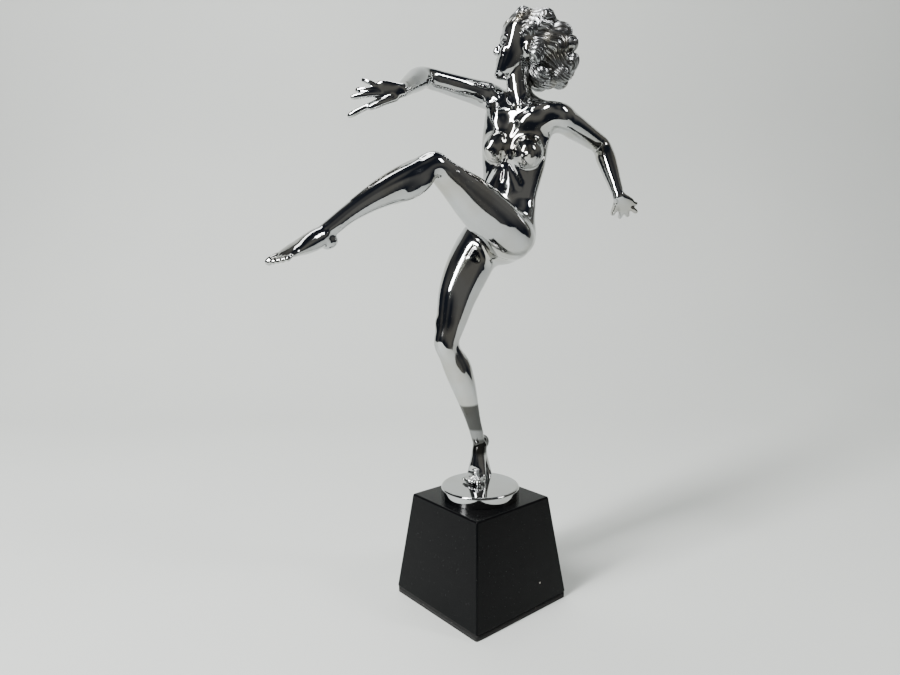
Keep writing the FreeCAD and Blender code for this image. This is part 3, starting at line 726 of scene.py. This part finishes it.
# middles and half-lengths of the bob's masses
HAIR_LOBES = (
    ((0, -5.0, 8.6), (14.4, 18.4, 14.0)), ((0, -14.5, 2.0), (16.0, 13.6, 15.0)),
    ((0, -18.0, -5.5), (14.8, 13.4, 11.4)), ((0, -15.5, -11.0), (12.6, 11.0, 8.6)),
    ((-1.5, 2.2, 18.4), (6.6, 5.6, 4.4)), ((3.5, -1.0, 18.6), (6.0, 6.5, 3.7)),
    ((-5.0, -8.5, 16.6), (8.0, 8.0, 5.2)), ((6.0, -9.5, 16.0), (7.5, 8.0, 5.0)),
    ((-6.5, -18.5, 11.6), (8.0, 6.6, 5.6)), ((6.5, -18.0, 12.0), (8.0, 6.6, 5.2)),
    ((-4.5, -26.0, 5.6), (7.6, 4.8, 5.0)), ((7.5, -24.5, 4.4), (7.0, 5.4, 5.0)),
    ((-6.0, -29.2, -3.6), (7.2, 4.6, 5.2)), ((5.0, -28.6, -5.0), (7.4, 4.8, 5.2)),
    ((-8.5, -24.0, -12.0), (6.4, 5.6, 5.2)), ((3.0, -24.6, -13.0), (6.6, 5.4, 4.6)),
    ((-10.0, -13.6, -14.6), (5.2, 6.0, 5.0)), ((9.5, -14.5, -14.0), (5.4, 6.0, 5.0)),
    ((-13.2, -8.0, -3.0), (3.6, 6.0, 7.5)), ((13.2, -8.0, -3.0), (3.6, 6.0, 7.5)),
)
COMB_HEART = np.array((0.0, 4.0, 3.0))


def comb(skin, place):
    """Waves the hair back from the face in ridges, with fine strand grooves along them."""
    local = (skin.co - np.array(place.translation)) @ np.array(place.to_3x3())
    out = (skin.normals() @ np.array(place.to_3x3()))
    back = np.array((0.0, -math.cos(math.radians(24)), -math.sin(math.radians(24))))
    over = np.array((0.0, -back[2], back[1])) * -1
    arm = local - COMB_HEART
    along = arm @ back
    turn = np.arctan2(arm[:, 0], arm @ over)
    far = np.hypot(arm[:, 0], arm @ over)
    course = np.arctan2(far, -along) / math.pi * 46
    lock = (turn + 0.085 * np.sin(course * 0.55 + 2.0 * np.sin(turn * 2 + 0.6))
            + 0.04 * np.sin(course * 1.3 + 4 * turn))
    ridge = np.sin(course * 0.62 + 1.6 * np.sin(turn * 3 + 0.4) + turn * 1.2)
    strand = 1 - np.abs(np.sin(lock * 17 + 0.7 * np.sin(course * 0.31)))
    fine = np.sin(lock * 78 + 1.5 * np.sin(course * 0.8))
    fade = np.clip((far - 3.5) / 6, 0, 1)
    height = 0.75 * ridge - 1.0 * strand**2 * fade + 0.14 * fine * fade
    skin.co += (out * height[:, None]) @ np.array(place.to_3x3()).T
    return np.clip(strand**2 * 0.9 + 0.25 - 0.25 * ridge - 0.2 * fine, 0, 1) * fade


FINE_GRAIN = 0.36
HEAD_VOXEL = FINE_GRAIN


def make_head():
    """The head with its neck, and the hair as a second skin over it."""
    face_bm = bmesh.new()
    head_masses(face_bm)
    face_bm.transform(HEAD_PLACE @ Matrix.Scale(HEAD_SIZE, 4))
    loft(face_bm, keys_along(
        NECK_WAY, FACE_WAY,
        (NECK_CUT - NECK_WAY * 3, 7.3, 7.5, 7.7), (NECK_CUT + NECK_WAY * 5, 7.3, 7.4, 7.7),
        (NECK_CUT + NECK_WAY * 12, 7.6, 7.2, 8.4), (NECK_CUT + NECK_WAY * 19, 8.0, 7.0, 9.0)))
    head = new_piece("head", face_bm)
    one_skin(head, HEAD_VOXEL)
    skin = Skin(head)
    even = (FINE_GRAIN / HEAD_VOXEL) ** 2

    def place(x, y, z):
        return HEAD_PLACE @ (V(x, y, z) * HEAD_SIZE)

    skin.smooth(round(26 * even), keep_size=False, weight=1 - 0.75 * skin.near(place(0, 14, -6), 7))
    for turn in (-1, 1):
        for points, radius, height in PAIRED_FACE_LINES:
            skin.raise_line([place(turn * x, y, z) for x, y, z in points], radius, height)
    for points, radius, height in MIDDLE_FACE_LINES:
        skin.raise_line([place(*point) for point in points], radius, height)
    skin.smooth(round(4 * even))
    skin.write()
    hair_bm = bmesh.new()
    for centre, radii in HAIR_LOBES:
        swelling(hair_bm, Vector(centre), SIDE, V(0, 1, 0), radii)
    hair_bm.transform(HEAD_PLACE @ Matrix.Scale(HEAD_SIZE, 4))
    hair = new_piece("hair", hair_bm)
    one_skin(hair, HEAD_VOXEL)
    skin = Skin(hair)
    skin.smooth(round(22 * even), keep_size=False)
    groove = comb(skin, HEAD_PLACE)
    skin.smooth(1, 0.5, keep_size=False)
    skin.write()
    hair.data.attributes.new("groove", "FLOAT", "POINT").data.foreach_set("value", groove.astype(np.float32))
    return head, hair


# ---- build the figure's pieces
def placed(name, bm):
    """A finished bmesh in millimetres becomes a smooth-shaded piece in metres."""
    bmesh.ops.transform(bm, matrix=Matrix.Scale(MM, 4), verts=bm.verts)
    piece = new_piece(name, bm)
    mesh = piece.data
    for face in mesh.polygons:
        face.use_smooth = len(face.vertices) < 8
    if "skin_normal" in mesh.attributes:
        normals = [Vector(item.vector) for item in mesh.attributes["skin_normal"].data]
        corners = [Vector()] * len(mesh.loops)
        for face in mesh.polygons:
            for i in face.loop_indices:
                corners[i] = normals[mesh.loops[i].vertex_index] if face.use_smooth else face.normal
        mesh.normals_split_custom_set(corners)
        mesh.attributes.remove(mesh.attributes["skin_normal"])
    return piece


def build_figure():
    bm = bmesh.new()
    figure_masses(bm)
    figure = new_piece("figure", bm)
    finish_figure(figure)
    whole = bmesh.new()
    whole.from_mesh(figure.data)
    bpy.data.objects.remove(figure)
    whole.normal_update()
    skin_normal = whole.verts.layers.float_vector.new("skin_normal")
    for vert in whole.verts:
        vert[skin_normal] = vert.normal
    limbs = {
        "raised_leg": cut_off(whole, LEG_CUT, THIGH_L_WAY, 21.5, KNEE_L),
        "right_arm": cut_off(whole, ARM_R_CUT, ARM_R_WAY, 12, ELBOW_R),
        "left_arm": cut_off(whole, ARM_L_CUT, ARM_L_WAY, 12, ELBOW_L),
    }
    limbs["body"] = whole
    return {name: placed(name, piece) for name, piece in limbs.items()}


pieces = build_figure()
head, hair = make_head()
for name, made in (("head", head), ("hair", hair)):
    bm = bmesh.new()
    bm.from_mesh(made.data)
    bpy.data.objects.remove(made)
    pieces[name] = placed(name, bm)


# ---- materials
class Socket:
    """A node's output that takes part in ordinary arithmetic."""

    def __init__(self, tree, link):
        self.tree, self.link = tree, link

    def plug(self, slot, value):
        if isinstance(value, Socket):
            self.tree.links.new(value.link, slot)
        else:
            slot.default_value = value

    def math(self, operation, a, b):
        node = self.tree.nodes.new("ShaderNodeMath")
        node.operation = operation
        self.plug(node.inputs[0], a)
        self.plug(node.inputs[1], b)
        return Socket(self.tree, node.outputs[0])

    def __add__(self, other):
        return self.math("ADD", self, other)

    def __radd__(self, other):
        return self.math("ADD", other, self)

    def __sub__(self, other):
        return self.math("SUBTRACT", self, other)

    def __rsub__(self, other):
        return self.math("SUBTRACT", other, self)

    def __mul__(self, other):
        return self.math("MULTIPLY", self, other)

    def __rmul__(self, other):
        return self.math("MULTIPLY", other, self)


SOCKETS = {"specular_ior_level": "Specular IOR Level"}
SECOND = "second"       # the lower of a node's two inputs that share a name


class Finish:
    """A material under construction: a Principled shader and a way to add nodes to it."""

    def __init__(self, name, **constants):
        self.material = bpy.data.materials.new(name)
        self.material.use_nodes = True
        self.tree = self.material.node_tree
        self.shader = self.tree.nodes["Principled BSDF"]
        self.plug = Socket(self.tree, None).plug
        self.place = self.node("ShaderNodeTexCoord", out="Object")
        for socket, value in constants.items():
            self.shader.inputs[SOCKETS.get(socket, socket.replace("_", " ").title())].default_value = value

    def node(self, kind, out=0, settings=None, stops=None, **values):
        made = self.tree.nodes.new(kind)
        for name, value in (settings or {}).items():
            setattr(made, name, value)
        if stops:
            ramp = made.color_ramp
            while len(ramp.elements) < len(stops):
                ramp.elements.new(0.5)
            for element, (position, colour) in zip(ramp.elements, stops):
                element.position = position
                element.color = (*colour, 1) if isinstance(colour, tuple) else (colour, colour, colour, 1)
        for name, value in values.items():
            self.plug(made.inputs[1] if name == SECOND else made.inputs[name], value)
        return Socket(self.tree, made.outputs[out])

    def noise(self, scale, detail=3.0, roughness=0.5, distortion=0.0):
        return self.node("ShaderNodeTexNoise", out="Fac", Vector=self.place, Scale=scale, Detail=detail,
                         Roughness=roughness, Distortion=distortion)

    def ramp(self, value, *stops):
        return self.node("ShaderNodeValToRGB", out="Color", stops=stops, Fac=value)

    def mix(self, factor, a, b):
        made = self.tree.nodes.new("ShaderNodeMix")
        made.data_type = "RGBA"
        for slot, value in ((0, factor), (6, a), (7, b)):       # the colour inputs of a Mix node
            self.plug(made.inputs[slot], value)
        return Socket(self.tree, made.outputs[2])

    def bump(self, height, strength, distance):
        return self.node("ShaderNodeBump", out="Normal", Height=height, Strength=strength, Distance=distance)

    def feed(self, **links):
        """Links what varies over the surface and hands back the finished material."""
        for name, value in links.items():
            self.tree.links.new(value.link, self.shader.inputs[name.replace("_", " ").title()])
        return self.material


def chrome(name, bloom=1.0, painted_shin_reflection=False):
    """Bright plate over a hand-dressed casting, with a faint warm bloom and pinpoint pits.

    On the standing leg, two near-black bands with a lighter stripe between them are painted above the ankle:
    a painted reflection of the black plinth, with the chrome seat disc in the stripe.
    """
    finish = Finish(name, metallic=1.0)
    broad = finish.noise(38, 3)
    fine = finish.noise(420, 2)
    pits = finish.node("ShaderNodeTexVoronoi", out="Distance", Vector=finish.place, Scale=700.0)
    pitted = finish.ramp(pits, (0.03, 1.0), (0.075, 0.0))
    patchy = finish.ramp(finish.noise(22, 2), (0.50, 0.0), (0.66, 1.0))
    tarnish = finish.ramp(broad, (0.44, 0.0), (0.72, 1.0))
    tint = finish.mix(tarnish * (0.6 * bloom), (0.47, 0.48, 0.485, 1), (0.37, 0.345, 0.28, 1))
    colour = finish.mix(pitted * patchy * 0.8, tint, (0.16, 0.145, 0.12, 1))
    rough = 0.045 + tarnish * (0.06 * bloom) + fine * 0.02 + pitted * patchy * 0.3
    # painted reflection: near-black bands for the plinth with a lighter stripe for the seat disc, painted on
    # the shin above the ankle
    if painted_shin_reflection:
        rise = finish.node("ShaderNodeSeparateXYZ", out="Z", Vector=finish.place) * 20 - 1.7 + broad * 0.08
        whole = finish.ramp(rise, (0.14, 0.0), (0.20, 1.0)) * finish.ramp(rise, (0.83, 1.0), (0.86, 0.0))
        painted_disc_stripe = finish.ramp(rise, (0.35, 0.0), (0.38, 1.0)) * finish.ramp(rise, (0.47, 1.0), (0.50, 0.0))
        painted_reflection_bands = whole * (0.88 - painted_disc_stripe * 0.35)
        colour = finish.mix(painted_reflection_bands, colour, (0.022, 0.021, 0.018, 1))
        rough = rough + painted_reflection_bands * 0.08
    height = fine * 0.10 + broad * 0.5 - pitted * patchy * 0.5
    return finish.feed(base_color=colour, roughness=rough, normal=finish.bump(height, 0.05, 0.0004))


def hair_plate():
    """The same plate where it could not be buffed: dull, with old polish dried in the grooves."""
    finish = Finish("hair_chrome", metallic=1.0)
    groove = finish.node("ShaderNodeAttribute", out="Fac", settings={"attribute_name": "groove"})
    speck = finish.noise(900, 3)
    stain = finish.ramp(finish.noise(60, 3), (0.50, 0.0), (0.70, 1.0))
    tint = finish.mix(stain * 0.7, (0.34, 0.35, 0.36, 1), (0.30, 0.25, 0.15, 1))
    colour = finish.mix(groove * 0.9, tint, (0.055, 0.052, 0.045, 1))
    rough = 0.13 + speck * 0.08 + groove * 0.3
    return finish.feed(base_color=colour, roughness=rough, normal=finish.bump(speck, 0.25, 0.0004))


CHIP_AT = (0.0375, 0.0162, 0.0167)     # a chip low on the plinth's left face


def lacquer():
    """Black lacquer rubbed to a satin gloss, with a little dust."""
    finish = Finish("black_lacquer", specular_ior_level=0.08)
    dust = finish.ramp(finish.noise(900, 2), (0.70, 0.0), (0.76, 1.0))
    haze = finish.noise(14, 4)
    orange_peel = finish.noise(160, 2)
    colour = finish.mix(dust * 0.25, (0.0022, 0.0024, 0.0028, 1), (0.10, 0.10, 0.095, 1))
    from_chip = finish.node("ShaderNodeVectorMath", out="Value", settings={"operation": "DISTANCE"},
                            Vector=finish.place, second=CHIP_AT)
    chip = finish.ramp(from_chip * 1000 + finish.noise(1100, 2) * 0.9, (0.95, 1.0), (1.0, 0.0))
    colour = finish.mix(chip, colour, (0.55, 0.53, 0.48, 1))
    rough = 0.17 + haze * 0.12 + dust * 0.3 + chip * 0.5
    return finish.feed(base_color=colour, roughness=rough,
                       normal=finish.bump(orange_peel * 0.6 + dust * 0.4, 0.05, 0.0003))


def felt():
    finish = Finish("black_felt", roughness=1.0, sheen_weight=0.08, specular_ior_level=0.1)
    fibre = finish.noise(1800, 4, 0.7, 0.6)
    lint = finish.ramp(finish.noise(700, 2), (0.72, 0.0), (0.76, 1.0))
    colour = finish.mix(fibre, (0.004, 0.004, 0.004, 1), (0.025, 0.025, 0.024, 1))
    colour = finish.mix(lint * 0.6, colour, (0.4, 0.39, 0.36, 1))
    return finish.feed(base_color=colour, normal=finish.bump(fibre, 0.6, 0.0006))


def turned_metal(name, colour, roughness):
    finish = Finish(name, metallic=1.0)
    grain = finish.noise(300, 3)
    tone = finish.mix(grain * 0.4, (*colour, 1), (colour[0] * 0.6, colour[1] * 0.6, colour[2] * 0.58, 1))
    return finish.feed(base_color=tone, roughness=roughness + grain * 0.15,
                       normal=finish.bump(grain, 0.1, 0.0003))


figure_chrome = chrome("figure_chrome", painted_shin_reflection=True)
hair_chrome = hair_plate()
seat_chrome = chrome("seat_chrome", 0.6)
black_lacquer = lacquer()
black_felt = felt()
brass = turned_metal("dowel_brass", (0.72, 0.55, 0.26), 0.28)
zinc = turned_metal("zinc_plate", (0.55, 0.56, 0.58), 0.3)


def dress(piece, material, slot):
    piece.data.materials.clear()
    piece.data.materials.append(material)


STANDS_FOR = {"body": "body_and_standing_leg", "hair": "head"}     # the others bear their node's name
for name, piece in pieces.items():
    piece.name = name + "_casting"
    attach(piece, "root")
    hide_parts(STANDS_FOR.get(name, name))
    dress(piece, hair_chrome if name == "hair" else figure_chrome, "chromed_casting")


# ---- seat, plinth, felt
def round_edges(bm, edges, offset, segments):
    bmesh.ops.bevel(bm, geom=edges, offset=offset, offset_type="OFFSET", affect="EDGES", segments=segments,
                    profile=0.5, material=-1)


def turned_seat():
    low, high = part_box("seat_disc")
    radius, tall = high.x, high.z - low.z
    bm = bmesh.new()
    bmesh.ops.create_cone(bm, cap_ends=True, segments=192, radius1=radius, radius2=radius, depth=tall)
    top = [e for e in bm.edges if all(v.co.z > 0 for v in e.verts)]
    bottom = [e for e in bm.edges if all(v.co.z < 0 for v in e.verts)]
    round_edges(bm, top, 0.0014, 8)
    round_edges(bm, bottom, 0.0003, 2)
    bmesh.ops.translate(bm, verts=bm.verts, vec=(0, 0, (low.z + high.z) / 2))
    return new_piece("turned_seat", bm)


PLINTH_TOP_HALF = 31.0 * MM


def square_block(top_half, foot_half, low, high):
    bm = bmesh.new()
    bmesh.ops.create_cube(bm, size=2)
    for vert in bm.verts:
        half, level = (top_half, high) if vert.co.z > 0 else (foot_half, low)
        vert.co = V(vert.co.x * half, vert.co.y * half, level)
    return bm


def tapered_plinth():
    low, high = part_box("plinth")
    bm = square_block(PLINTH_TOP_HALF, high.x, low.z, high.z)
    round_edges(bm, bm.edges[:], 0.0011, 5)
    return new_piece("lacquered_plinth", bm)


def felt_square():
    low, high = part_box("felt_pad")
    bm = square_block(high.x, high.x, low.z, high.z)
    corners = [e for e in bm.edges if abs(e.verts[0].co.z - e.verts[1].co.z) > 0.001]
    round_edges(bm, corners, 0.0015, 4)
    bmesh.ops.bisect_plane(bm, geom=bm.verts[:] + bm.edges[:] + bm.faces[:],
                           plane_co=(0, 0, 0.0018), plane_no=(0, 0, 1))
    return new_piece("felt_square", bm)


def smooth_shaded(piece):
    for face in piece.data.polygons:
        face.use_smooth = True


def finish_plain(piece, node, material, slot):
    smooth_shaded(piece)
    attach(piece, "root")
    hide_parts(node)
    dress(piece, material, slot)


def keep_flats(piece):
    """Weighted normals, so that flats stay flat beside rounded edges."""
    weighted = piece.modifiers.new("flats", "WEIGHTED_NORMAL")
    weighted.keep_sharp = True
    apply_modifiers(piece)


for make, node, material, slot in ((turned_seat, "seat_disc", seat_chrome, "seat_chrome"),
                                   (tapered_plinth, "plinth", black_lacquer, "plinth_lacquer"),
                                   (felt_square, "felt_pad", black_felt, "base_felt")):
    piece = make()
    finish_plain(piece, node, material, slot)
    keep_flats(piece)

for node in ("neck_dowel", "right_arm_dowel", "left_arm_dowel", "raised_leg_dowel"):
    dress(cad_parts[node], brass, "dowel_brass")
for node in ("foot_screw", "clamp_stud", "flat_washer", "spring_washer", "clamp_nut"):
    dress(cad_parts[node], zinc, "fixing_steel")
dress(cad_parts["heel_post"], figure_chrome, "chromed_casting")


# ---- floor, light and camera
EYE = V(0.29665, -0.27300, 0.22073)
LOOK = V(-0.76005, 0.63776, -0.12483)
RIGHT = V(0.64369, 0.76523, -0.00963)
RISE = V(-0.08938, 0.08767, 0.99213)
FIGURE_MIDDLE = V(0, 0, 0.2)


def seen_from_camera(right, rise, near):
    """A direction given as seen by the camera: to its right, up, and back towards it."""
    return (RIGHT * right + RISE * rise - LOOK * near).normalized()


def sweep():
    """Pale floor that curves up into a backdrop behind the object."""
    front, back, half_wide, tall, bend = -0.30, 0.95, 1.15, 1.7, 0.5
    bm = bmesh.new()
    bmesh.ops.create_grid(bm, x_segments=1, y_segments=1, size=1)
    for vert in bm.verts:
        vert.co = V(vert.co.x * half_wide, back if vert.co.y > 0 else front, 0)
    far = [e for e in bm.edges if all(v.co.y > 0 for v in e.verts)]
    raised = bmesh.ops.extrude_edge_only(bm, edges=far)["geom"]
    bmesh.ops.translate(bm, vec=(0, 0, tall), verts=[g for g in raised if isinstance(g, bmesh.types.BMVert)])
    fold = [e for e in bm.edges if all(abs(v.co.y - back) < 1e-6 and abs(v.co.z) < 1e-6 for v in e.verts)]
    round_edges(bm, fold, bend, 32)
    bmesh.ops.rotate(bm, verts=bm.verts, cent=(0, 0, 0), matrix=Matrix.Rotation(math.radians(50), 3, "Z"))
    piece = new_piece("floor_sweep", bm)
    smooth_shaded(piece)
    finish = Finish("backdrop_paper", roughness=0.75)
    cloud = finish.noise(2.6, 4)
    colour = finish.mix(cloud, (0.60, 0.625, 0.60, 1), (0.68, 0.70, 0.67, 1))
    piece.data.materials.append(finish.feed(base_color=colour))


def soft_lamp(name, way, reach, size, power):
    """Oblong lamp that faces the figure from reach metres away along way."""
    lamp = bpy.data.lights.new(name, "AREA")
    lamp.shape = "RECTANGLE"
    lamp.size, lamp.size_y = size
    lamp.energy = power
    holder = bpy.data.objects.new(name, lamp)
    holder.location = FIGURE_MIDDLE + way * reach
    holder.rotation_euler = (-way).to_track_quat("-Z", "Y").to_euler()
    bpy.context.scene.collection.objects.link(holder)


def camera():
    lens = bpy.data.cameras.new("camera")
    lens.sensor_width = 36.0
    lens.lens = 25.955
    holder = bpy.data.objects.new("camera", lens)
    holder.matrix_world = Matrix.Translation(EYE) @ Matrix((RIGHT, RISE, -LOOK)).transposed().to_4x4()
    bpy.context.scene.collection.objects.link(holder)
    bpy.context.scene.camera = holder


def dim_room():
    """The unlit room beyond the sweep: dark, with a few soft grey shapes."""
    world = bpy.data.worlds.new("dim_room")
    world.use_nodes = True
    tree = world.node_tree
    coord = tree.nodes.new("ShaderNodeTexCoord")
    noise = tree.nodes.new("ShaderNodeTexNoise")
    noise.inputs["Scale"].default_value = 1.5
    noise.inputs["Detail"].default_value = 0.0
    ramp = tree.nodes.new("ShaderNodeValToRGB")
    ramp.color_ramp.elements[0].position = 0.38
    ramp.color_ramp.elements[0].color = (0.017, 0.021, 0.031, 1)
    ramp.color_ramp.elements[1].position = 0.68
    ramp.color_ramp.elements[1].color = (0.175, 0.17, 0.158, 1)
    tree.links.new(coord.outputs["Generated"], noise.inputs["Vector"])
    tree.links.new(noise.outputs["Fac"], ramp.inputs["Fac"])
    tree.links.new(ramp.outputs["Color"], tree.nodes["Background"].inputs["Color"])
    bpy.context.scene.world = world


sweep()
dim_room()
soft_lamp("lamp_left", seen_from_camera(-0.60, 0.60, 0.55), 1.5, (0.26, 1.2), 62)
soft_lamp("lamp_right", seen_from_camera(0.72, 0.60, 0.30), 1.5, (0.22, 0.5), 8)
soft_lamp("backdrop_wash", seen_from_camera(-0.15, 0.97, -0.20), 1.9, (0.9, 0.4), 9)
camera()
